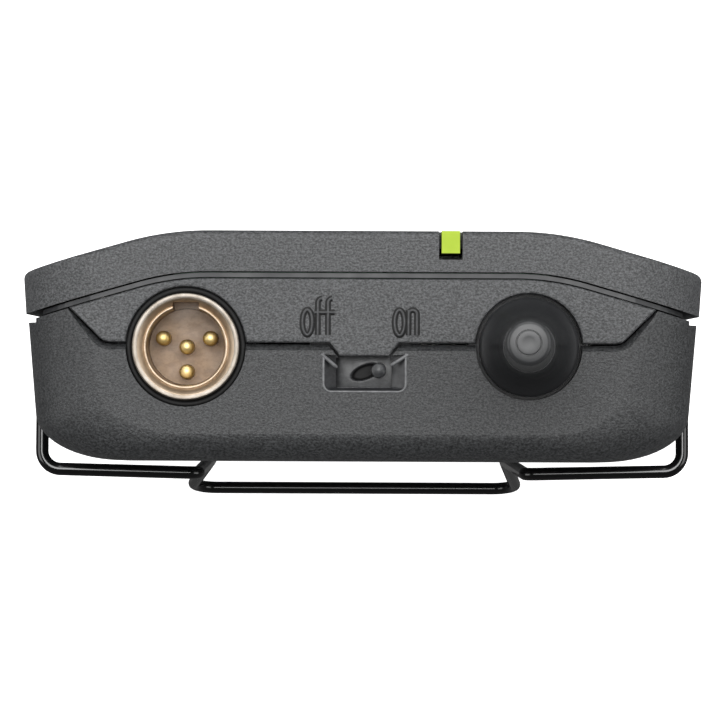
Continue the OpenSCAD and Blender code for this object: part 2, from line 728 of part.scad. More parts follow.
module connector_shell() {
    z0 = shell_top - shell_l;
    bore_r = socket_d / 2;
    color(METAL) translate([connector_x, shell_y, 0]) difference() {
        union() {
            translate([0, 0, z0]) cylinder(r = shell_r, h = shell_l);
            translate([0, 0, case_h - end_wall - 1.15]) cylinder(r = shell_r + shell_gap + 0.7, h = 1.1);
        }
        translate([0, 0, z0 - 1]) cylinder(r = bore_r, h = shell_l + 2);
        translate([0, 0, shell_top - 1.3]) cylinder(r1 = shell_r - 0.84, r2 = shell_r - 0.55, h = 1.3 + eps);
        translate([0, 0, shell_top - 2]) cylinder(r1 = bore_r, r2 = bore_r + 0.3, h = 1);
        translate([-key_w / 2, -shell_r + 0.84, insert_z]) cube([key_w, shell_r, socket_depth + 1]);
    }
}

module connector_nut() {
    color("#8d8a84") translate([connector_x, shell_y, case_h - end_wall - 3.2]) difference() {
        cylinder(r = shell_r + nut_ring, h = 2, $fn = 6);
        translate([0, 0, -1]) cylinder(r = shell_r + 0.03, h = 4);
    }
}

module connector_insert() {
    z0 = shell_top - shell_l + 0.5;
    color("#6e5a46") translate([connector_x, shell_y, 0]) difference() {
        translate([0, 0, z0]) cylinder(r = socket_d / 2 - 0.03, h = insert_z - z0);
        contact_places() translate([0, 0, z0 - 1]) cylinder(r = contact_d / 2 + 0.02, h = shell_l);
    }
}

// One contact in the middle and three round it
module contact_places() {
    children();
    for (a = [-20, 90, 200]) rotate([0, 0, a]) translate([contact_r, 0, 0]) children();
}

module contact_pins() {
    z0 = shell_top - shell_l - 1.2;
    z1 = shell_top - 3;
    color("#c8a24a") translate([connector_x, shell_y, 0]) contact_places() {
        translate([0, 0, z0]) cylinder(r = contact_d / 2, h = z1 - z0 - contact_d / 4);
        translate([0, 0, z1 - contact_d / 4]) cylinder(r1 = contact_d / 2, r2 = contact_d / 4, h = contact_d / 4);
    }
}

module audio_board() {
    z = shell_top - shell_l - 1.1;
    color(BOARD) translate([connector_x, 0, z]) difference() {
        span_box([-5.5, -3.6, 0], [5.5, 6.4, board_t]);
        translate([0, shell_y, -1]) contact_places() cylinder(r = contact_d / 2 + 0.05, h = 4);
    }
}

// ---- Antenna ----

module antenna_boot() {
    neck = tip_d / 2 + 0.75;
    side_h = 1.1;
    color("#252628") translate([-antenna_x, boot_y, 0]) difference() {
        rotate_extrude() polygon(concat([[0, boot_bottom], [boot_hole_r + 0.7, boot_bottom],
            [boot_hole_r + 0.7, boot_bottom + 1.1], [boot_r, boot_bottom + 1.1], [boot_r, case_h + side_h]],
            arc([neck, case_h + side_h], boot_r - neck, boot_h - side_h - 2.6, 0, 75, 8),
            [[neck, case_h + boot_h], [0, case_h + boot_h]]));
        translate([0, 0, boot_bottom - 1]) cylinder(r = 2.2, h = 5);
        whip_place() translate([0, 0, -4]) cylinder(r = tip_d / 2 + 0.45, h = boot_h + 8);
    }
}

// The whip's own axis, leaning in from the middle of the top face
module whip_place() {
    translate([0, 0, case_h]) rotate([0, lean_a, 0]) children();
}

module antenna_whip() {
    tip_r = tip_d / 2;
    base_r = tip_r + 0.4;
    top = antenna_h - tip_r;
    color("#252628") translate([-antenna_x, boot_y, 0]) whip_place() difference() {
        rotate_extrude() polygon(concat([[0, 1], [base_r, 1], [base_r, boot_h]], arc([0, top], tip_r, tip_r, 0, 90, 8)));
        translate([0, 0, -1]) cylinder(r = core_r, h = antenna_h - 6);
        // Fine ring round the tip
        translate([0, 0, antenna_h - 0.45]) difference() {
            cylinder(r = 1.15, h = 1);
            translate([0, 0, -1]) cylinder(r = 0.95, h = 3);
        }
    }
}

module antenna_core() {
    color("#9a9a98") translate([-antenna_x, boot_y, 0]) whip_place()
        translate([0, 0, 1.1]) cylinder(r = core_r - 0.02, h = antenna_h - 9);
}

module antenna_ferrule() {
    z0 = boot_bottom - 8;
    color("#b08d45") translate([-antenna_x, boot_y, 0]) {
        translate([0, 0, z0]) cylinder(r = 2.4, h = boot_bottom - z0 - 0.02);
        translate([0, 0, boot_bottom - 0.1]) cylinder(r = 2.15, h = case_h + 0.6 - boot_bottom);
        for (i = [0:3]) translate([0, 0, z0 + 1.5 + i * 1.4]) cylinder(r = 2.7, h = 0.7);
    }
}

// Sprung fork that joins the ferrule to the main board
module antenna_contact() {
    z0 = boot_bottom - 8;
    color(METAL) translate([-antenna_x, 0, 0]) {
        for (s = [-1, 1]) span_box([s * 3.05 - 0.2, main_y, z0 - 2], [s * 3.05 + 0.2, 2.2, z0 + 6]);
        span_box([-3.25, main_y - 0.2, z0 - 4.4], [3.25, main_y + 0.2, z0 - 0.1]);
    }
}

// ---- Power switch ----

module power_slider() {
    left = window_x - window_l / 2 - 1.1;
    right = window_x + window_l / 2 + 0.4;
    nub_top = case_h - 0.45;
    color("#202224") {
        difference() {
            span_box([left - slide_travel / 2, window_y - window_w / 2 - 0.6, slider_z],
                [right, window_y + window_w / 2 + 0.6, slider_z + slider_t]);
            // Finger dish beside the nub
            translate([0.2, window_y, slider_z + slider_t + 1.1]) rotate([90, 0, 0])
                cylinder(r = 1.5, h = window_w - 0.6, center = true);
        }
        translate([nub_x, window_y - 0.2, slider_z + slider_t - 0.1]) {
            cylinder(r = nub_d / 2, h = nub_top - slider_z - slider_t - 0.2);
            translate([0, 0, nub_top - slider_z - slider_t - 0.2 - eps]) cylinder(r1 = nub_d / 2, r2 = nub_d / 2 - 0.3, h = 0.3);
        }
        span_box([nub_x - 0.5, window_y - 0.8, slider_z - 2.2], [nub_x + 0.7, window_y + 0.8, slider_z + 0.1]);
    }
}

module slide_switch() {
    top = slider_z - 0.35;
    color("#8a8c8e") difference() {
        span_box([-5.4, main_y + board_t + 0.02, top - 7.6], [4.9, window_y + window_w / 2 + 1.1, top]);
        span_box([nub_x - 0.9, window_y - 1.2, top - 2.4], [nub_x + slide_travel + 1.1, window_y + 1.2, top + 1]);
    }
}

// ---- Electronics ----

module main_board() {
    tongue_half = connector_x - shell_r - nut_ring - 0.225;
    color(BOARD) difference() {
        union() {
            span_box([-main_half, main_y, main_z0], [main_half, main_y + board_t, main_z1]);
            span_box([-tongue_half, main_y, main_z1 - 1], [tongue_half, main_y + board_t, slider_z - 0.4]);
            span_box([tray_half + 0.6, main_y, gain_z - 8], [main_half, main_y + board_t, main_z0 + 1]);
        }
        for (s = [-1, 1]) {
            for (z = standoff_zs) bar_y(cover_screw_d / 2 + 0.1, s * standoff_x, z, front_y, back_y);
            for (z = cover_screw_zs) bar_y(cover_head_d / 2 + 0.3, s * cover_screw_x, z, front_y, back_y);
        }
        // Foot of the antenna's fork
        span_box([-antenna_x - 3.4, main_y - 1, boot_bottom - 12.5], [-antenna_x + 3.4, main_y + 0.25, case_h]);
    }
}

module board_chips() {
    y = main_y + board_t + 0.02;
    color("#17181a") {
        span_box([3, y, main_z0 + 4], [11, y + 1.2, main_z0 + 12]);
        span_box([4, y, main_z0 + 15], [10, y + 1, main_z0 + 21]);
        span_box([14.5, y, main_z0 + 9], [17, y + 1.4, main_z0 + 17]);
        for (i = [0:4]) span_box([12.5 + i * 2.2, y, main_z1 - 9.2], [13.7 + i * 2.2, y + 0.8, main_z1 - 7]);
        for (i = [0:3]) span_box([4 + i * 1.8, y, main_z1 - 7], [5 + i * 1.8, y + 0.6, main_z1 - 4.8]);
    }
}

module rf_shield() {
    y = main_y + board_t + 0.02;
    a = [-main_half + 3.5, y, main_z0 + 6.5];
    b = [-2, y + 3, main_z1 - 8];
    color(METAL) difference() {
        span_box(a, b);
        span_box([a[0] + 0.3, a[1] - 1, a[2] + 0.3], [b[0] - 0.3, b[1] - 0.3, b[2] - 0.3]);
        for (i = [0:4], j = [0:3]) bar_y(0.5, a[0] + 4 + i * 3.6, a[2] + 4 + j * 3.6, b[1] - 1, b[1] + 1);
    }
}

module gain_pot() {
    color("#d8d2c0") difference() {
        span_box([gain_x - 2.2, main_y - 1.6, gain_z - 2.2], [gain_x + 2.2, main_y - 0.02, gain_z + 2.2]);
        bar_y(1.55, gain_x, gain_z, main_y - 3, main_y - 0.9);
    }
}
module gain_rotor() {
    color("#e6e6e0") difference() {
        bar_y(1.5, gain_x, gain_z, main_y - 2.6, main_y - 1);
        translate([gain_x, main_y - 2.6, gain_z]) cube([2.2, 0.9, 0.45], center = true);
    }
}

// ---- Screws ----

module screw(x, z, head_y, tip_y, head_d, shank_d) {
    difference() {
        union() {
            bar_y(head_d / 2, x, z, head_y - 1.4, head_y);
            bar_y(shank_d / 2, x, z, tip_y, head_y - 1.2);
        }
        translate([x, head_y, z]) for (a = [0, 90]) rotate([0, a, 0]) cube([head_d * 0.62, 1.2, 0.5], center = true);
    }
}
module case_screws() {
    color("#2a2a2a") for (s = [-1, 1], z = screw_zs)
        screw(s * screw_x, z, back_y - 0.78, post_y - 1.6, screw_head_d, screw_d);
}
module cover_screws() {
    head_y = arch_y(deck_off + deck_t, cover_screw_x + cover_head_d / 2) + 1.42;
    color("#5a5a5a") for (s = [-1, 1], z = cover_screw_zs)
        screw(s * cover_screw_x, z, head_y, arch_y(skin_t, cover_screw_x) + 0.6, cover_head_d, cover_screw_d);
}
module board_screws() {
    color("#5a5a5a") for (s = [-1, 1], z = standoff_zs)
        screw(s * standoff_x, z, main_y + board_t + 1.42, main_y - 1.8, 2.8, cover_screw_d);
}

rear_case();
front_case();
front_cover();
cover_seal();
display_window();
display_panel();
display_board();
board_header();
status_light_guide();
status_led();
group_button();
channel_button();
tact_switches();
battery_door();
latch_left();
latch_right();
hinge_pins();
battery_tray();
battery_left();
battery_right();
bridge_contact();
bridge_spring();
top_contacts();
belt_clip();
connector_shell();
connector_nut();
connector_insert();
contact_pins();
audio_board();
antenna_boot();
antenna_whip();
antenna_core();
antenna_ferrule();
antenna_contact();
power_slider();
slide_switch();
main_board();
board_chips();
rf_shield();
gain_pot();
gain_rotor();
case_screws();
cover_screws();
board_screws();
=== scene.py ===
"""A wireless bodypack transmitter, dressed over the frame that the CAD model gives."""
import json
import math

import bmesh
import bpy
from mathutils import Matrix, Vector


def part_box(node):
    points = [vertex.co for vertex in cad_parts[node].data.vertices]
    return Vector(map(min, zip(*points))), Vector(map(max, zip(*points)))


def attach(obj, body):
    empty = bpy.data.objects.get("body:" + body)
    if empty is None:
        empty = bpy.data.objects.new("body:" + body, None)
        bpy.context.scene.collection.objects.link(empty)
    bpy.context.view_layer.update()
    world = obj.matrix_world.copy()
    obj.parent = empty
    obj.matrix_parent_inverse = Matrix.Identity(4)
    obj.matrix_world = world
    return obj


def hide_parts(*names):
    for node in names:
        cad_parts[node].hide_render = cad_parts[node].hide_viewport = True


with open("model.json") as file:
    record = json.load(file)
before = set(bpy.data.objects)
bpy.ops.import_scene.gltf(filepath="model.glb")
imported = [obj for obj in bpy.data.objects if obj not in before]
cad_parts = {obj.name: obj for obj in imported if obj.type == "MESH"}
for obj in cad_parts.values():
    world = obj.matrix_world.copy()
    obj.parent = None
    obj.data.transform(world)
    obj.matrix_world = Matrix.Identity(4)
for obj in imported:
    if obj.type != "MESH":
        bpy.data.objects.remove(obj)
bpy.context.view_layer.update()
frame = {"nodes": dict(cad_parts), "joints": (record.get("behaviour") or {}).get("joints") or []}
nodes = frame["nodes"]
MM = 0.001


def box_mm(node):
    """The lowest and highest corner of a CAD node, in millimetres."""
    lo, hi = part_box(node)
    return Vector(lo) / MM, Vector(hi) / MM


rear_hi = box_mm("rear_case")[1]
cover_lo, cover_hi = box_mm("front_cover")
door_lo, door_hi = box_mm("battery_door")
band_hi = box_mm("front_case")[1]
shell_lo, shell_hi = box_mm("connector_shell")
insert_hi = box_mm("connector_insert")[1]
pins_lo, pins_hi = box_mm("contact_pins")
boot_lo, boot_hi = box_mm("antenna_boot")
whip_hi = box_mm("antenna_whip")[1]
wire_lo, wire_hi = box_mm("belt_clip")
slider_lo, slider_hi = box_mm("power_slider")

TOP = rear_hi.z
HALF = cover_hi.x
FRONT = cover_lo.y
BACK = rear_hi.y
REAR_HALF = rear_hi.x
SKIN = 0.03            # how far a rounded skin lies inside the CAD solid's own
CLEAR = 0.02           # how far a turned or shaped piece lies inside its CAD node
PLAN_R = 7.5           # corner radius seen from the front
END_R = 3.0            # radius between an end face and the back
CORNER = (8.0, 4.5)    # width and depth of the rounded back corners
DRAFT = 0.7
FLAT_HALF = 14.3       # half width of the flat front
ARCH_R = 28.0
ARCH_A = math.radians(16.0)
COVER_T = 3.85
SEAM_HALF = 24.1
SEAM_Y = -0.3
SEAM_R = 1.5


# ---- Outlines and solids ----

def arc(centre, rx, ry, start, end, steps):
    """Points along an elliptical arc, angles in degrees."""
    angles = [math.radians(start + (end - start) * i / steps) for i in range(steps + 1)]
    return [(centre[0] + rx * math.cos(a), centre[1] + ry * math.sin(a)) for a in angles]


def both_sides(points):
    """The points and their mirror images, as one closed outline."""
    return points + [(-x, y) for x, y in reversed(points)]


def arch(depth, end_x, steps=10):
    """Half of the front's arch, depth behind the front face, out to end_x."""
    r = ARCH_R - depth
    angles = [ARCH_A * i / steps for i in range(steps + 1)]
    turn = [(FLAT_HALF + r * math.sin(a), FRONT + ARCH_R - r * math.cos(a)) for a in angles]
    return turn + [(end_x, arch_y(depth, end_x))]


def arch_y(depth, x):
    """Where the arch's side slope lies at x."""
    r = ARCH_R - depth
    return FRONT + ARCH_R - r * math.cos(ARCH_A) + (x - FLAT_HALF - r * math.sin(ARCH_A)) * math.tan(ARCH_A)


REAR_TOP = arch_y(COVER_T, HALF - 0.3) + 0.8


def round_inset(dz, r):
    """How far a rounded edge of radius r has moved in, dz from the end."""
    return r - math.sqrt(max(r * r - (r - dz) ** 2, 0.0)) if dz < r else 0.0


def end_levels(r, steps):
    """Distances from an end face that give even steps round an edge of radius r."""
    return [r * (1 - math.cos(math.radians(90 * i / steps))) for i in range(steps + 1)]


def new_object(name, bm):
    """An object made from bm, with its faces turned outward."""
    mesh = bpy.data.meshes.new(name)
    bmesh.ops.recalc_face_normals(bm, faces=bm.faces)
    bm.to_mesh(mesh)
    bm.free()
    piece = bpy.data.objects.new(name, mesh)
    bpy.context.scene.collection.objects.link(piece)
    return piece


def loft(name, rings):
    """A closed solid through rings of points in millimetres."""
    bm = bmesh.new()
    rows = [[bm.verts.new(Vector(p) * MM) for p in ring] for ring in rings]
    count = len(rows[0])
    for a, b in zip(rows, rows[1:]):
        for i in range(count):
            j = (i + 1) % count
            bm.faces.new((a[i], a[j], b[j], b[i]))
    bm.faces.new(list(reversed(rows[0])))
    bm.faces.new(rows[-1])
    return new_object(name, bm)


def turned(name, profile, centre, steps=96, lean=0.0):
    """A solid of revolution about Z from (radius, height) points in millimetres, leaning towards +X."""
    bm = bmesh.new()
    place = Matrix.Translation(Vector(centre)) @ Matrix.Rotation(lean, 4, "Y")
    rows = []
    for r, z in profile:
        if r < 1e-6:
            rows.append([bm.verts.new((place @ Vector((0, 0, z))) * MM)])
            continue
        ring = [2 * math.pi * i / steps for i in range(steps)]
        rows.append([bm.verts.new((place @ Vector((r * math.cos(a), r * math.sin(a), z))) * MM) for a in ring])
    for a, b in zip(rows, rows[1:]):
        for i in range(steps):
            j = (i + 1) % steps
            quad = [a[i % len(a)], a[j % len(a)], b[j % len(b)], b[i % len(b)]]
            bm.faces.new(list(dict.fromkeys(quad)))
    return new_object(name, bm)


def copy_of(node, name):
    """A clean copy of a CAD node's mesh, with doubled and degenerate points removed."""
    bm = bmesh.new()
    bm.from_mesh(nodes[node].data)
    bm.transform(nodes[node].matrix_world)
    bmesh.ops.remove_doubles(bm, verts=bm.verts, dist=2e-6)
    bmesh.ops.dissolve_degenerate(bm, edges=bm.edges, dist=1e-6)
    return new_object(name, bm)


def combine(piece, other, operation):
    """Applies one boolean to piece and removes the other solid."""
    tool = piece.modifiers.new("combine", "BOOLEAN")
    tool.operation = operation
    tool.solver = "EXACT"
    tool.object = other
    graph = bpy.context.evaluated_depsgraph_get()
    mesh = bpy.data.meshes.new_from_object(piece.evaluated_get(graph))
    piece.modifiers.clear()
    old = piece.data
    piece.data = mesh
    bpy.data.meshes.remove(old)
    bpy.data.objects.remove(other)


def soften(piece, width, keep=lambda a, b: True, angle=38, segments=2):
    """Rounds the sharp edges that keep(a, b) accepts; a and b are the edge's ends in millimetres."""
    bm = bmesh.new()
    bm.from_mesh(piece.data)
    bmesh.ops.remove_doubles(bm, verts=bm.verts, dist=3e-6)
    bmesh.ops.dissolve_limit(bm, angle_limit=math.radians(0.8), verts=bm.verts, edges=bm.edges)
    edges = [e for e in bm.edges if len(e.link_faces) == 2 and e.calc_face_angle(0) > math.radians(angle)
             and keep(e.verts[0].co / MM, e.verts[1].co / MM)]
    if edges:
        bmesh.ops.bevel(bm, geom=edges, offset=width * MM, segments=segments, profile=0.5,
                        affect="EDGES", clamp_overlap=True)
    bm.to_mesh(piece.data)
    bm.free()


def smooth(piece, angle=30):
    """Smooth shading up to an angle."""
    piece.data.shade_smooth()
    piece.data.set_sharp_from_angle(angle=math.radians(angle))
    normals = piece.modifiers.new("normals", "WEIGHTED_NORMAL")
    normals.keep_sharp = True
    normals.weight = 100


def cad_edges(node, width, angle=32):
    """Small rounded edges on a CAD node, as modifiers."""
    piece = nodes[node]
    flat = piece.modifiers.new("flat", "DECIMATE")
    flat.decimate_type = "DISSOLVE"
    flat.angle_limit = math.radians(0.8)
    edge = piece.modifiers.new("edge", "BEVEL")
    edge.width = width * MM
    edge.segments = 2
    edge.limit_method = "ANGLE"
    edge.angle_limit = math.radians(angle)


# ---- Materials ----

class Look:
    """Builds one node material, step by step."""

    def __init__(self, name, colour, roughness, metallic=0.0, **sockets):
        self.material = bpy.data.materials.new(name)
        self.material.use_nodes = True
        self.tree = self.material.node_tree
        self.shader = self.tree.nodes["Principled BSDF"]
        self.shader.inputs["Base Color"].default_value = (*colour, 1)
        self.shader.inputs["Roughness"].default_value = roughness
        self.shader.inputs["Metallic"].default_value = metallic
        for socket, value in sockets.items():
            self.shader.inputs[socket.replace("_", " ")].default_value = value
        self.place = self.tree.nodes.new("ShaderNodeTexCoord").outputs["Object"]
        self.normal = None

    def stretched(self, scale):
        """The object's own coordinates, scaled along each axis."""
        node = self.tree.nodes.new("ShaderNodeMapping")
        node.inputs["Scale"].default_value = scale
        self.tree.links.new(self.place, node.inputs["Vector"])
        return node.outputs["Vector"]

    def noise(self, size, detail=3.0, stretch=(1, 1, 1), roughness=0.55):
        """Noise with features of about size millimetres."""
        node = self.tree.nodes.new("ShaderNodeTexNoise")
        node.inputs["Scale"].default_value = 1 / (size * MM)
        node.inputs["Detail"].default_value = detail
        node.inputs["Roughness"].default_value = roughness
        self.tree.links.new(self.stretched(stretch), node.inputs["Vector"])
        return node.outputs["Fac"]

    def pebbles(self, size):
        """Round cells of about size millimetres."""
        node = self.tree.nodes.new("ShaderNodeTexVoronoi")
        node.feature = "SMOOTH_F1"
        node.inputs["Scale"].default_value = 1 / (size * MM)
        node.inputs["Smoothness"].default_value = 0.8
        self.tree.links.new(self.stretched((1, 1, 1)), node.inputs["Vector"])
        return node.outputs["Distance"]

    def bump(self, height, strength, distance):
        """Adds a bump of a given depth in millimetres."""
        node = self.tree.nodes.new("ShaderNodeBump")
        node.inputs["Strength"].default_value = strength
        node.inputs["Distance"].default_value = distance * MM
        self.tree.links.new(height, node.inputs["Height"])
        if self.normal:
            self.tree.links.new(self.normal, node.inputs["Normal"])
        self.normal = node.outputs["Normal"]
        self.tree.links.new(self.normal, self.shader.inputs["Normal"])

    def ramp(self, factor, low, high, start, end):
        """A colour between low and high, as factor goes from start to end."""
        node = self.tree.nodes.new("ShaderNodeValToRGB")
        node.color_ramp.elements[0].position = start
        node.color_ramp.elements[1].position = end
        node.color_ramp.elements[0].color = (*low, 1)
        node.color_ramp.elements[1].color = (*high, 1)
        self.tree.links.new(factor, node.inputs["Fac"])
        return node.outputs["Color"]

    def tint(self, factor, low, high, start=0.35, end=0.65):
        self.tree.links.new(self.ramp(factor, low, high, start, end), self.shader.inputs["Base Color"])

    def gloss(self, factor, low, high, start=0.3, end=0.7):
        shades = self.ramp(factor, (low,) * 3, (high,) * 3, start, end)
        self.tree.links.new(shades, self.shader.inputs["Roughness"])


def moulded(name, low, high, roughness, grain, depth):
    """Spark-eroded mould texture: fine uneven grain, slightly drawn out sideways."""
    look = Look(name, low, roughness, Specular_IOR_Level=0.5)
    fine = look.noise(grain, 4.0, (0.75, 1, 1), 0.7)
    look.tint(fine, low, high, 0.4, 0.62)
    look.gloss(look.noise(grain * 2.2, 2.0), roughness - 0.07, roughness + 0.08)
    look.bump(fine, 0.9, depth)
    look.bump(look.noise(grain * 4, 2.0, (0.5, 1, 1)), 0.35, depth * 1.5)
    return look.material


def smooth_rubber(name, colour, roughness):
    """Rubber or soft plastic with a slightly uneven sheen."""
    look = Look(name, colour, roughness, Specular_IOR_Level=0.45)
    look.bump(look.noise(0.35, 3.0), 0.25, 0.012)
    look.gloss(look.noise(1.8, 2.0), roughness - 0.05, roughness + 0.07)
    return look.material


def plated(name, low, high, roughness):
    """Plated metal with faint drawing marks."""
    look = Look(name, low, roughness, metallic=1.0)
    look.tint(look.noise(1.3, 3.0), low, high)
    look.gloss(look.noise(0.9, 2.0), roughness - 0.03, roughness + 0.05)
    look.bump(look.noise(0.4, 2.0), 0.08, 0.004)
    return look.material


def black_wire():
    look = Look("black_wire", (0.002, 0.002, 0.0022), 0.14, Coat_Weight=0.4, Coat_Roughness=0.08,
                Specular_IOR_Level=0.5)
    look.bump(look.noise(0.9, 2.0), 0.12, 0.01)
    return look.material


def circuit_board():
    """Green solder mask over faint tracks."""
    look = Look("circuit_board", (0.012, 0.075, 0.035), 0.32, Specular_IOR_Level=0.5)
    look.tint(look.pebbles(2.4), (0.01, 0.06, 0.028), (0.02, 0.11, 0.05), 0.3, 0.5)
    look.bump(look.pebbles(2.4), 0.5, 0.03)
    return look.material


def cell_jacket():
    look = Look("cell_jacket", (0.03, 0.032, 0.036), 0.28, metallic=0.6)
    look.tint(look.noise(6.0, 2.0), (0.024, 0.026, 0.03), (0.05, 0.052, 0.058))
    look.bump(look.noise(0.8, 2.0), 0.15, 0.01)
    return look.material


def light_guide():
    look = Look("lime_light_guide", (0.34, 0.47, 0.02), 0.5, Specular_IOR_Level=0.3)
    look.tint(look.noise(1.5, 2.0), (0.33, 0.46, 0.018), (0.37, 0.5, 0.026))
    look.bump(look.noise(0.5, 2.0), 0.2, 0.01)
    return look.material


def smoked_window():
    look = Look("smoked_window", (0.015, 0.017, 0.02), 0.12, Coat_Weight=0.5, Coat_Roughness=0.05)
    look.bump(look.noise(6.0, 1.0), 0.05, 0.02)
    return look.material


def display_glass():
    look = Look("display_grey", (0.3, 0.34, 0.27), 0.25)
    look.tint(look.noise(5.0, 2.0), (0.27, 0.31, 0.24), (0.33, 0.37, 0.3))
    return look.material


CASE = moulded("case_plastic", (0.008, 0.0085, 0.009), (0.056, 0.058, 0.06), 0.44, 0.17, 0.07)
# The case plastic made brighter for the cover, door and front case: painted light falling from the front.
CASE_PAINTED_LIGHT = moulded("case_plastic_painted_light", (0.018, 0.0188, 0.0196), (0.096, 0.0985, 0.102), 0.44, 0.17, 0.07)
BLACK = moulded("black_plastic", (0.014, 0.0145, 0.016), (0.026, 0.027, 0.029), 0.38, 0.5, 0.02)
# Flat black: the gasket's own colour, and painted shade in the slider's scoop and round the raised marks.
GASKET_BLACK_AND_PAINTED_SHADE = Look("gasket_black_and_painted_shade", (0.004, 0.004, 0.004), 0.7).material
LETTER = moulded("letter_plastic", (0.03, 0.031, 0.033), (0.05, 0.052, 0.054), 0.4, 0.5, 0.02)
# Lighter grey for the switch pocket's bead and horns: painted highlight on their edges.
PAINTED_EDGE_HIGHLIGHT = moulded("edge_painted_highlight", (0.1, 0.102, 0.105), (0.15, 0.153, 0.157), 0.36, 0.5, 0.02)
WHITE = moulded("white_plastic", (0.66, 0.65, 0.6), (0.74, 0.73, 0.69), 0.45, 0.8, 0.01)
INSERT = moulded("brown_insert", (0.24, 0.15, 0.08), (0.33, 0.215, 0.12), 0.42, 0.8, 0.015)
SEAL = smooth_rubber("seal_rubber", (0.03, 0.031, 0.033), 0.42)
RUBBER = smooth_rubber("antenna_rubber", (0.012, 0.0125, 0.0135), 0.36)
WHIP_RUBBER = smooth_rubber("whip_rubber", (0.024, 0.025, 0.026), 0.36)
NICKEL = plated("satin_nickel", (0.2, 0.172, 0.14), (0.28, 0.255, 0.225), 0.4)
# A warmer, brighter copy of the plating inside the mouth: painted reflection of the brown insert.
SHELL_PAINTED_REFLECTION = plated("shell_painted_reflection", (0.4, 0.31, 0.22), (0.5, 0.4, 0.3), 0.42)
STEEL = plated("contact_steel", (0.62, 0.61, 0.58), (0.74, 0.73, 0.7), 0.3)
GOLD = plated("gold_plate", (0.7, 0.52, 0.2), (0.85, 0.68, 0.34), 0.45)
BRASS = plated("turned_brass", (0.7, 0.52, 0.24), (0.8, 0.63, 0.34), 0.3)
SCREW = plated("black_screw", (0.03, 0.03, 0.031), (0.05, 0.05, 0.052), 0.34)
WIRE = black_wire()
BOARD = circuit_board()
JACKET = cell_jacket()
LIME = light_guide()
WINDOW = smoked_window()
DISPLAY = display_glass()


def dress(piece, material):
    """Gives the whole piece one material."""
    piece.data.materials.clear()
    piece.data.materials.append(material)


def fit(piece, body, material, node=None):
    """Puts a piece on its CAD body, in place of a CAD node if one is named."""
    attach(piece, body)
    if node:
        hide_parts(node)
    dress(piece, material)


# ---- Case shells: the CAD solid inside a skin with rounded corners ----

COVER_EDGE_R = 0.7     # rounded ends of the cover and door
RIM_R = 0.8            # rounded rim where the arch meets the side
SEAM_CHAMFER = ((-1.0, 0.12), (-0.75, 0.16), (0.3, 0.95))    # height over the top face, growth outward


def rear_ring(z):
    """Section of the rear case at height z."""
    dz = min(z, TOP - z)
    side = REAR_HALF - SKIN - round_inset(dz, PLAN_R - 0.5)
    back = BACK - SKIN - round_inset(dz, END_R)
    corner = (side - DRAFT - CORNER[0], back - CORNER[1])
    half = [(side + 0.05, FRONT - 2), (side, REAR_TOP)] + arc(corner, *CORNER, 0, 90, 14)
    return [(x, y, z) for x, y in both_sides(half)]


def cover_ring(z, low, high, corner_z):
    """Section of the cover or door at height z between its ends; its round corners are at corner_z."""
    side = HALF - SKIN - round_inset(abs(z - corner_z), PLAN_R)
    depth = SKIN + round_inset(min(z - low, high - z), COVER_EDGE_R)
    rim_y = arch_y(depth, side) + 0.62
    half = [(0.01, FRONT + depth)] + arch(depth, side - 0.75)
    half += arc((side - RIM_R, rim_y), RIM_R, RIM_R, -70, 0, 6)
    half += [(side - 0.3, arch_y(COVER_T + 1.2, side)), (0.01, FRONT + COVER_T + 6)]
    return [(x, y, z) for x, y in both_sides(half)]


def levels(low, high, r_low, r_high, steps=14):
    """Heights from low to high, close together round the radius at each end."""
    up = [low + d for d in end_levels(r_low, steps)]
    down = [high - d for d in end_levels(r_high, steps)]
    return up + [(up[-1] + down[-1]) / 2] + list(reversed(down))


def skinned(node, rings, body, material):
    """A CAD shell with a rounded skin, as its own piece."""
    piece = copy_of(node, node + "_skin")
    combine(piece, loft("skin", rings), "INTERSECT")
    fit(piece, body, material, node)
    return piece


def seam_outline(grow):
    """The front case's sloping sides at the seam, moved outward by grow."""
    centre = (SEAM_HALF - SEAM_R * math.tan(math.radians(22.5)), SEAM_Y - SEAM_R)
    tip = SEAM_HALF + BACK
    return both_sides(arc(centre, SEAM_R + grow, SEAM_R + grow, 90, 45, 6)
                      + [(tip + grow * math.sqrt(2), SEAM_Y - BACK)])


def rear_edge(a, b):
    """True for an edge near the top face or on the case's rim."""
    top = min(a.z, b.z) > TOP - 1.9
    rim = abs(a.y - REAR_TOP) < 0.1 and abs(b.y - REAR_TOP) < 0.1 and abs(a.x) > HALF - 8
    return top or rim


def rear_case():
    rings = [rear_ring(z) for z in levels(SKIN, TOP - SKIN, PLAN_R, PLAN_R)]
    piece = skinned("rear_case", rings, "case", CASE)
    chamfer = loft("chamfer", [[(x, y, TOP + dz) for x, y in seam_outline(grow)] for dz, grow in SEAM_CHAMFER])
    combine(piece, chamfer, "DIFFERENCE")
    soften(piece, 0.2, rear_edge)
    smooth(piece)


def front_cover():
    low, high = cover_lo.z, TOP - SKIN
    rings = [cover_ring(z, low, high, high) for z in levels(low + SKIN, high, 0.3, PLAN_R)]
    piece = skinned("front_cover", rings, "case", CASE_PAINTED_LIGHT)
    soften(piece, 0.18, lambda a, b: min(a.y, b.y) > FRONT + 2 or min(a.z, b.z) > TOP - 3)
    smooth(piece)


def battery_door():
    low, high = door_lo.z + SKIN, door_hi.z
    rings = [cover_ring(z, low, high, low) for z in levels(SKIN, high - SKIN, PLAN_R, 0.3)]
    piece = skinned("battery_door", rings, "battery_door", CASE_PAINTED_LIGHT)
    soften(piece, 0.15, lambda a, b: min(abs(a.x), abs(b.x)) > HALF - 2)
    smooth(piece)


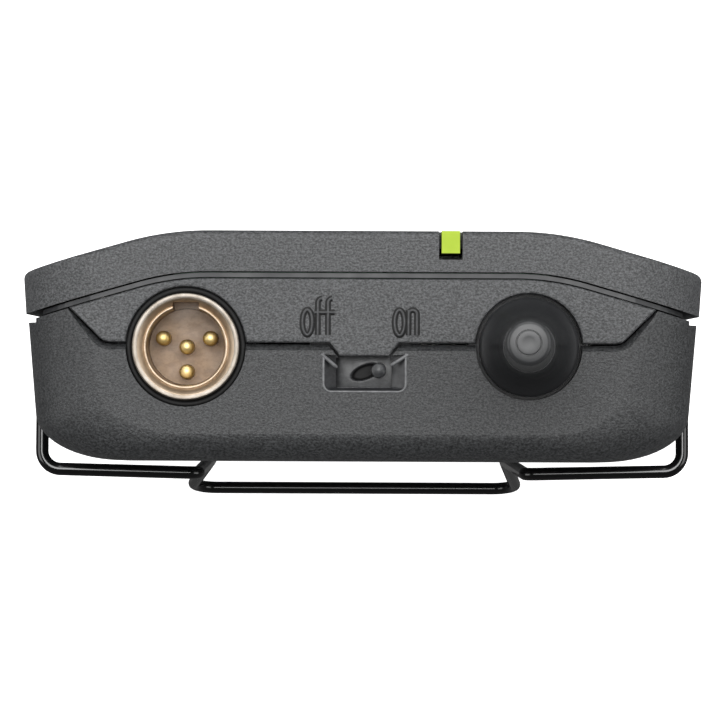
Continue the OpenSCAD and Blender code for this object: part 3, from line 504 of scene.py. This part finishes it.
def front_case():
    piece = copy_of("front_case", "front_case_skin")
    soften(piece, 0.28, lambda a, b: min(a.z, b.z) > band_hi.z - 0.1)
    smooth(piece)
    fit(piece, "case", CASE_PAINTED_LIGHT, "front_case")


rear_case()
front_cover()
battery_door()
front_case()


# ---- Antenna: a domed boot and a leaning whip ----

BOOT_X = (boot_lo.x + boot_hi.x) / 2
BOOT_Y = (boot_lo.y + boot_hi.y) / 2
FOOT_R = 5.6
BOOT_R = 4.65
NECK_R = 2.3
BOOT_CONE = ((3.9, 1.5), (3.5, 2.1), (3.15, 2.8), (2.9, 3.6), (2.75, 4.6), (2.64, 5.8))  # radius, height
LEAN = math.radians(1.8)
BASE_R = 2.34
TIP_R = 1.95
TIP_FACE = ((1.13, 0.03), (1.1, 0.2), (1.04, 0.2), (1.0, 0.03), (0.9, 0.01), (0.5, 0.05), (0.0, 0.08))


def antenna_boot():
    foot, neck = boot_lo.z, boot_hi.z
    profile = [(NECK_R, foot + CLEAR), (FOOT_R, foot + CLEAR), (FOOT_R, foot + 1.0)]
    profile.append((BOOT_R - CLEAR, foot + 1.1))
    profile += arc((BOOT_R - 0.72, TOP + 0.5), 0.7, 0.75, 0, 52, 6)
    profile += [(r, TOP + z) for r, z in BOOT_CONE]
    profile += [(2.52, neck - 0.6), (2.38, neck - CLEAR), (NECK_R, neck - CLEAR), (NECK_R, foot + CLEAR)]
    piece = turned("antenna_boot_skin", profile, (BOOT_X, BOOT_Y, 0))
    for vertex in piece.data.vertices:
        vertex.co.x += math.tan(LEAN) * max(0.0, vertex.co.z - TOP * MM)
    smooth(piece, 40)
    fit(piece, "case", RUBBER, "antenna_boot")


def antenna_whip():
    """The whip, with heights from the top face along its lean, and a fine ring in its tip."""
    neck = boot_hi.z - TOP
    length = (whip_hi.z - TOP) / math.cos(LEAN) - 0.08
    profile = [(0.0, 1.0), (BASE_R, 1.0), (BASE_R, neck)]
    for t in (0.25, 0.5, 0.75, 1.0):
        profile.append((BASE_R + (TIP_R - BASE_R) * t, neck + (length - TIP_R - neck) * t))
    profile += arc((TIP_R - 0.45, length - 0.52), 0.45, 0.47, 4, 82, 8)
    profile += [(r, length - depth) for r, depth in TIP_FACE]
    piece = turned("antenna_whip_skin", profile, (BOOT_X, BOOT_Y, TOP), lean=LEAN)
    smooth(piece, 35)
    fit(piece, "case", WHIP_RUBBER, "antenna_whip")


antenna_boot()
antenna_whip()


# ---- Connector: a turned shell with a bevelled mouth, its pins, and a black gasket ----

SOCKET_X = (shell_lo.x + shell_hi.x) / 2
SOCKET_Y = (shell_lo.y + shell_hi.y) / 2
MOUTH = shell_hi.z
SHELL_R = 5.035
BORE_R = 3.6
BEVEL = ((SHELL_R - 0.5, 0.01), (SHELL_R - 0.6, 0.06), (4.1, 0.42), (3.98, 0.62))    # radius, depth
PAINTED_REFLECTION_R = 4.5          # the painted warm reflection inside the mouth starts here
KEY_HALF = 1.225
KEY_DEEP = 4.19        # from the socket's middle to the keyway's floor
GASKET_R = 5.57
GASKET_FOOT_R = 6.28
PIN_R = 0.7
PIN_CIRCLE_R = 2.34
PIN_ANGLES = (-20, 90, 200)


def keyway():
    """The block that cuts the keyway, down to the insert's face."""
    sides = ((-KEY_HALF, -KEY_DEEP), (KEY_HALF, -KEY_DEEP), (KEY_HALF, -1), (-KEY_HALF, -1))
    return loft("key", [[(SOCKET_X + x, SOCKET_Y + y, z) for x, y in sides] for z in (insert_hi.z, MOUTH + 1)])


def connector_shell():
    outer = SHELL_R - CLEAR
    foot = shell_lo.z + CLEAR
    profile = [(outer, foot), (outer, MOUTH - 0.2)] + arc((SHELL_R - 0.2, MOUTH - 0.2), 0.18, 0.19, 10, 90, 5)
    profile += [(r, MOUTH - depth) for r, depth in BEVEL]
    profile += arc((3.82, MOUTH - 0.64), 0.13, 0.08, 0, 150, 5)
    profile += [(3.64, MOUTH - 0.85), (BORE_R + 0.01, MOUTH - 1.1), (BORE_R + 0.01, foot), (outer, foot)]
    piece = turned("connector_shell_skin", profile, (SOCKET_X, SOCKET_Y, 0), 128)
    combine(piece, keyway(), "DIFFERENCE")
    smooth(piece, 40)
    fit(piece, "case", NICKEL, "connector_shell")
    piece.data.materials.append(SHELL_PAINTED_REFLECTION)
    piece.data.materials.append(INSERT)
    # Faces at the insert's level take the insert's brown; faces inside the mouth take the painted reflection.
    for face in piece.data.polygons:
        middle = face.center / MM
        if abs(middle.z - insert_hi.z) < 0.05:
            face.material_index = 2
        elif math.hypot(middle.x - SOCKET_X, middle.y - SOCKET_Y) < PAINTED_REFLECTION_R:
            face.material_index = 1


def socket_gasket():
    foot, shoulder, lip = TOP - 3.33, TOP - 2.27, TOP - 0.75
    profile = [(SHELL_R, foot), (GASKET_FOOT_R, foot), (GASKET_FOOT_R, shoulder), (GASKET_R, shoulder)]
    profile.append((GASKET_R, lip))
    profile += arc((GASKET_R - 0.25, lip), 0.24, 0.2, 20, 160, 5)
    profile += [(SHELL_R, lip), (SHELL_R, foot)]
    piece = turned("socket_gasket", profile, (SOCKET_X, SOCKET_Y, 0))
    smooth(piece, 50)
    fit(piece, "case", GASKET_BLACK_AND_PAINTED_SHADE)


def contact_pin(number, x, y):
    foot, round_z, r = pins_lo.z + CLEAR, pins_hi.z - 0.5, PIN_R - 0.01
    profile = [(0.0, foot), (r, foot), (r, round_z)] + arc((0.0, round_z), r, 0.49, 10, 90, 8)
    piece = turned("contact_pin_%d" % number, profile, (SOCKET_X + x, SOCKET_Y + y, 0), 32)
    smooth(piece, 50)
    fit(piece, "case", GOLD, "contact_pins")


connector_shell()
socket_gasket()
contact_pin(0, 0.0, 0.0)
for number, angle in enumerate(PIN_ANGLES, 1):
    turn = math.radians(angle)
    contact_pin(number, PIN_CIRCLE_R * math.cos(turn), PIN_CIRCLE_R * math.sin(turn))


# ---- Belt clip: one bent wire ----

def rounded_corner(a, b, c, r, steps=10):
    """Points round the corner at b with bend radius r."""
    u, v = (a - b).normalized(), (c - b).normalized()
    half = math.acos(max(-1, min(1, u.dot(v)))) / 2
    middle = b + (u + v).normalized() * r / math.sin(half)
    p, q = b + u * r / math.tan(half), b + v * r / math.tan(half)
    return [middle + (p - middle).lerp(q - middle, i / steps).normalized() * r for i in range(steps + 1)]


def tube(name, path, radius, sides=20):
    """A round wire along a path, in millimetres, with round ends."""
    bm = bmesh.new()
    up = Vector((0.3, 0.5, 0.8))
    turns = [2 * math.pi * k / sides for k in range(sides)]
    rows = []
    last = len(path) - 1
    for i, point in enumerate(path):
        along = (path[min(i + 1, last)] - path[max(i - 1, 0)]).normalized()
        up = (up - along * up.dot(along)).normalized()
        side = along.cross(up)
        sizes = [(radius, 0.0)]
        if i in (0, last):
            ends = [(radius * 0.55, -0.18), (radius * 0.88, -0.07), (radius, 0.0)]
            sizes = ends if i == 0 else list(reversed(ends))
        for r, back in sizes:
            middle = point + along * (-back if i == last else back)
            ring = [middle + (up * math.cos(a) + side * math.sin(a)) * r for a in turns]
            rows.append([bm.verts.new(p * MM) for p in ring])
    for a, b in zip(rows, rows[1:]):
        for k in range(sides):
            n = (k + 1) % sides
            bm.faces.new((a[k], a[n], b[n], b[k]))
    bm.faces.new(list(reversed(rows[0])))
    bm.faces.new(rows[-1])
    return new_object(name, bm)


WIRE_R = 0.65
LEG_X = wire_hi.x - WIRE_R
PIVOT = Vector(next(j for j in frame["joints"] if j["name"] == "clip_swing")["pos_m"]) / MM
ELBOW_Z = PIVOT.z + 1.5
ARM_HALF = 16.3
FLARE_HALF = 17.7
CLIP_SET = 0.9         # sideways set of the free end
CLIP_BENDS = (1.1, 1.85, 1.1, 6.6, 2.4)    # bend radii from the pivot to the free end


def clip_side(side):
    """One side of the clip, from its pivot to the free end."""
    return [Vector((side * LEG_X, PIVOT.y, PIVOT.z)),
            Vector((side * LEG_X, BACK + WIRE_R + 0.6, PIVOT.z + 0.8)),
            Vector((side * ARM_HALF, BACK + WIRE_R + 0.95, ELBOW_Z)),
            Vector((side * (ARM_HALF - 0.7) + CLIP_SET / 2, BACK + WIRE_R + 0.15, ELBOW_Z - 35)),
            Vector((side * FLARE_HALF + CLIP_SET, BACK + 4.0, wire_lo.z + WIRE_R))]


def belt_clip():
    ends = [Vector((side * (LEG_X - 4.2), PIVOT.y, PIVOT.z)) for side in (1, -1)]
    corners = [ends[0]] + clip_side(1) + list(reversed(clip_side(-1))) + [ends[1]]
    path = [corners[0]]
    for before, at, after, bend in zip(corners, corners[1:], corners[2:], CLIP_BENDS + CLIP_BENDS[::-1]):
        path += rounded_corner(before, at, after, bend)
    path.append(corners[-1])
    piece = tube("belt_clip_wire", path, WIRE_R - 0.01)
    smooth(piece, 60)
    fit(piece, "belt_clip", WIRE, "belt_clip")


belt_clip()


# ---- Power switch: sloped pocket walls with a bead, and the slider's finger shape ----

WINDOW_MID = (-0.12, 2.42)
WINDOW_HALF = (2.6, 1.375)
POCKET_MID = (-0.2, 2.52)
POCKET_HALF = (3.85, 1.725)
BEAD_Z = TOP - 0.08
HORNS = (((3.72, 0.84, BEAD_Z), (2.5, 1.86, TOP - 0.3)), ((-4.12, 0.84, BEAD_Z), (-2.8, 1.66, TOP - 0.3)))
NUB = (-1.5, 2.22)
NUB_R = 0.68
NUB_TOP = TOP - 0.47
PLATE = TOP - 2.42
PLATE_LOW = TOP - 3.08
STEM = ((-0.5, -0.78), (0.65, -0.78), (0.65, 0.78), (-0.5, 0.78))
SCOOP = (-0.28, 2.38)
SCOOP_HALF = (1.28, 0.6)
SCOOP_TURN = math.radians(-22)


def u_path(mid, half, r, steps=6):
    """Points down one side, round two corners of radius r and up the other side."""
    left, right = mid[0] - half[0], mid[0] + half[0]
    top, low = mid[1] - half[1], mid[1] + half[1]
    points = [(right, top), (right, (top + low - r) / 2)] + arc((right - r, low - r), r, r, 0, 90, steps)
    return points + arc((left + r, low - r), r, r, 90, 180, steps) + [(left, (top + low - r) / 2), (left, top)]


def switch_pocket():
    rim = u_path(POCKET_MID, (POCKET_HALF[0] - CLEAR, POCKET_HALF[1] - CLEAR), 0.7)
    throat = u_path(WINDOW_MID, (WINDOW_HALF[0] + 0.01, WINDOW_HALF[1] + 0.06), 0.25)
    walls = loft("switch_walls", [[(*a, TOP - 0.16), (*b, TOP - 1.1), (*b, TOP - 1.17), (*a, TOP - 1.17)]
                                  for a, b in zip(rim, throat)])
    smooth(walls, 40)
    # The pocket walls take the black plastic as painted shade in the recess.
    fit(walls, "case", BLACK)
    # The bead and the horns are a lighter grey: painted highlight along the pocket's edges.
    bead = tube("switch_bead", [Vector((x, y, BEAD_Z)) for x, y in rim], 0.12, 12)
    smooth(bead, 60)
    fit(bead, "case", PAINTED_EDGE_HIGHLIGHT)
    for i, (high, low) in enumerate(HORNS):
        horn = tube("switch_horn_%d" % i, [Vector(high).lerp(Vector(low), t / 4) for t in range(5)], 0.17, 12)
        smooth(horn, 60)
        fit(horn, "case", PAINTED_EDGE_HIGHLIGHT)


def scoop_depth(x, y):
    """1 in the slider's scoop, 0 outside it."""
    dx, dy = x - SCOOP[0], y - SCOOP[1]
    u = (dx * math.cos(SCOOP_TURN) - dy * math.sin(SCOOP_TURN)) / SCOOP_HALF[0]
    v = (dx * math.sin(SCOOP_TURN) + dy * math.cos(SCOOP_TURN)) / SCOOP_HALF[1]
    return 1 / (1 + math.exp((u * u + v * v - 1.0) * 9))


def slider_height(x, y):
    """Height of the slider's finger face: a plate, a scoop and a round nub."""
    plate = PLATE - 0.16 * max(0.0, x - 1.3) ** 2 - 0.05 * (y - WINDOW_MID[1]) ** 2
    dip = scoop_depth(x, y)
    base = plate * (1 - dip) + (PLATE_LOW + 0.04) * dip
    off = math.hypot(x - NUB[0], y - NUB[1]) / NUB_R
    return max(base, NUB_TOP - 0.28 * off ** 2) if off < 1 else base


def slider_face(across=150, down=60):
    """The slider's finger face as a fine grid over a flat underside."""
    bm = bmesh.new()
    x0, x1 = slider_lo.x + CLEAR, slider_hi.x - CLEAR
    y0, y1 = slider_lo.y + CLEAR, slider_hi.y - CLEAR
    xs = [x0 + (x1 - x0) * i / across for i in range(across + 1)]
    ys = [y0 + (y1 - y0) * j / down for j in range(down + 1)]
    grid = [[bm.verts.new((x * MM, y * MM, slider_height(x, y) * MM)) for x in xs] for y in ys]
    low = [[bm.verts.new((x * MM, y * MM, PLATE_LOW * MM)) for x in (x0, x1)] for y in (y0, y1)]
    for j in range(down):
        for i in range(across):
            bm.faces.new((grid[j][i], grid[j][i + 1], grid[j + 1][i + 1], grid[j + 1][i]))
    bm.faces.new(list(reversed(grid[0])) + [low[0][0], low[0][1]])
    bm.faces.new(grid[-1] + [low[1][1], low[1][0]])
    bm.faces.new([row[0] for row in grid] + [low[1][0], low[0][0]])
    bm.faces.new([row[-1] for row in reversed(grid)] + [low[0][1], low[1][1]])
    bm.faces.new((low[0][0], low[1][0], low[1][1], low[0][1]))
    return new_object("power_slider_face", bm)


def power_slider():
    """The finger face, with painted shade in its scoop, on a stem."""
    face_piece = slider_face()
    smooth(face_piece, 50)
    stem = loft("power_slider_stem", [[(NUB[0] + x, WINDOW_MID[1] + y, z) for x, y in STEM]
                                      for z in (slider_lo.z + CLEAR, PLATE_LOW + CLEAR)])
    for piece in (face_piece, stem):
        fit(piece, "power_slider", LETTER, "power_slider")
    face_piece.data.materials.append(GASKET_BLACK_AND_PAINTED_SHADE)
    # Up-facing faces in the scoop, apart from the nub, take flat black: painted shade.
    for face in face_piece.data.polygons:
        x, y = face.center.x / MM, face.center.y / MM
        in_nub = math.hypot(x - NUB[0], y - NUB[1]) < NUB_R * 1.05
        if scoop_depth(x, y) > 0.3 and not in_nub and face.normal.z > 0:
            face.material_index = 1


switch_pocket()
power_slider()


# ---- Raised marks at the switch ----

LETTER_HEIGHT = 2.35
LETTER_Y = -1.05
# The wide black band round each stroke is painted shade round the raised letters.
MARK_SHADE = (0.4, -0.335)
MARK_CORE = (0.11, -0.01)


def stroke_lines(name, strokes, x, y, size, material):
    """Round strokes along the top face; size is their radius and the height of their middle."""
    radius, height = size
    curve = bpy.data.curves.new(name, "CURVE")
    curve.dimensions = "3D"
    curve.bevel_depth = radius * MM
    curve.bevel_resolution = 2
    curve.use_fill_caps = True
    for stroke in strokes:
        line = curve.splines.new("POLY")
        line.points.add(len(stroke) - 1)
        for point, (right, up) in zip(line.points, stroke):
            point.co = ((x - right) * MM, (y - up) * MM, (TOP + height) * MM, 1)
    draft = bpy.data.objects.new(name + "_draft", curve)
    bpy.context.scene.collection.objects.link(draft)
    drawn = draft.evaluated_get(bpy.context.evaluated_depsgraph_get())
    piece = bpy.data.objects.new(name, bpy.data.meshes.new_from_object(drawn))
    bpy.context.scene.collection.objects.link(piece)
    bpy.data.objects.remove(draft)
    fit(piece, "case", material)


def mark(name, strokes, x):
    """A moulded mark: a raised core in a band of painted shade. Strokes are lists of (right, up) points."""
    stroke_lines(name + "_painted_shade", strokes, x, LETTER_Y, MARK_SHADE, GASKET_BLACK_AND_PAINTED_SHADE)
    stroke_lines(name + "_core", strokes, x, LETTER_Y, MARK_CORE, LETTER)


def o_strokes(right):
    half = LETTER_HEIGHT / 2
    return [arc((right, half), 0.46, half, 0, 360, 28)]


def f_strokes(right):
    tall, bar = LETTER_HEIGHT + 1.05, LETTER_HEIGHT - 0.25
    return [[(right, 0), (right, tall - 0.45)] + arc((right + 0.42, tall - 0.42), 0.42, 0.42, 180, 95, 6),
            [(right - 0.32, bar), (right + 0.62, bar)]]


def n_strokes(right):
    width, shoulder = 0.78, LETTER_HEIGHT - 0.4
    bow = arc((right + width / 2, shoulder), width / 2, 0.4, 170, 0, 8)
    return [[(right, 0), (right, LETTER_HEIGHT)], [(right, LETTER_HEIGHT - 0.5)] + bow + [(right + width, 0)]]


mark("mark_off", o_strokes(-0.9) + f_strokes(0.08) + f_strokes(1.02), 4.25)
mark("mark_on", o_strokes(-0.42) + n_strokes(0.42), -3.85)


# ---- Materials and edges of the CAD nodes ----

CAD_LOOKS = {
    SEAL: ["cover_seal"],
    WINDOW: ["display_window"],
    DISPLAY: ["display_panel"],
    BOARD: ["display_board", "main_board", "audio_board"],
    BLACK: ["board_header", "group_button", "channel_button", "latch_left", "latch_right", "battery_tray",
            "power_slider", "board_chips", "slide_switch"],
    LIME: ["status_light_guide"],
    WHITE: ["status_led", "gain_pot", "gain_rotor"],
    STEEL: ["tact_switches", "hinge_pins", "bridge_contact", "bridge_spring", "top_contacts", "antenna_core",
            "antenna_contact", "rf_shield", "cover_screws", "board_screws"],
    JACKET: ["battery_left", "battery_right"],
    NICKEL: ["connector_shell"],
    INSERT: ["connector_insert"],
    GOLD: ["contact_pins"],
    BRASS: ["antenna_ferrule"],
    SCREW: ["case_screws", "connector_nut"],
}
EDGE_WIDTHS = {
    0.1: ["connector_shell", "case_screws", "gain_rotor", "cover_seal"],
    0.12: ["latch_left", "latch_right", "power_slider", "rf_shield"],
    0.15: ["status_light_guide", "display_window", "contact_pins", "battery_tray"],
    0.2: ["slide_switch"],
    0.35: ["group_button", "channel_button"],
    0.4: ["battery_left", "battery_right"],
}
for material, names in CAD_LOOKS.items():
    for node in names:
        dress(nodes[node], material)
        smooth(nodes[node], 30)
for width, names in EDGE_WIDTHS.items():
    for node in names:
        cad_edges(node, width)


# ---- Floor, light and camera ----

AIM = Vector((0, 0, TOP * MM))
FLOOR_Z = -0.0065      # low enough for the battery door when it is fully open


def studio_light(name, place, width, height, power):
    """A soft rectangular light at place over the top face, aimed at its middle."""
    lamp = bpy.data.lights.new(name, "AREA")
    lamp.shape = "RECTANGLE"
    lamp.size = width
    lamp.size_y = height
    lamp.energy = power
    light = bpy.data.objects.new(name, lamp)
    bpy.context.scene.collection.objects.link(light)
    light.location = AIM + Vector(place)
    light.rotation_euler = (-Vector(place)).to_track_quat("-Z", "Y").to_euler()


def white_floor():
    bm = bmesh.new()
    bmesh.ops.create_grid(bm, x_segments=1, y_segments=1, size=2)
    floor = new_object("floor", bm)
    floor.location = (0, 0, FLOOR_Z)
    paper = Look("floor_paper", (0.8, 0.8, 0.8), 0.9, Emission_Strength=0.95)
    paper.shader.inputs["Emission Color"].default_value = (1, 1, 1, 1)
    paper.bump(paper.noise(3.0, 2.0), 0.05, 0.1)
    dress(floor, paper.material)
    floor.visible_glossy = False


def studio_world(strength):
    world = bpy.data.worlds.new("studio")
    bpy.context.scene.world = world
    world.use_nodes = True
    background = world.node_tree.nodes["Background"]
    background.inputs["Color"].default_value = (1, 1, 1, 1)
    background.inputs["Strength"].default_value = strength


def top_camera(distance, lens, roll_degrees):
    """Looks down on the top face, with the front of the pack upward in the picture."""
    data = bpy.data.cameras.new("camera")
    data.sensor_width = 36
    data.lens = lens
    camera = bpy.data.objects.new("camera", data)
    bpy.context.scene.collection.objects.link(camera)
    camera.location = AIM + Vector((0, 0.0036, distance))
    away = Vector((0, 0.0021, distance)).normalized()
    up = away.cross(Vector((-1, 0, 0))).normalized()
    right = up.cross(away)
    roll = Matrix.Rotation(math.radians(roll_degrees), 3, away)
    axes = Matrix((roll @ right, roll @ up, away)).transposed()
    camera.rotation_euler = axes.to_euler()
    bpy.context.scene.camera = camera


white_floor()
studio_world(0.1)
studio_light("overhead", (0, -0.14, 0.75), 0.56, 0.42, 5.2)
studio_light("front_box", (0, -0.42, 0.3), 0.7, 0.25, 1.7)
studio_light("side_left", (0.42, -0.05, 0.2), 0.45, 0.3, 0.9)
studio_light("side_right", (-0.42, -0.05, 0.2), 0.45, 0.3, 0.9)
top_camera(0.5, 267, 0.27)
bpy.context.scene.view_settings.view_transform = "Standard"
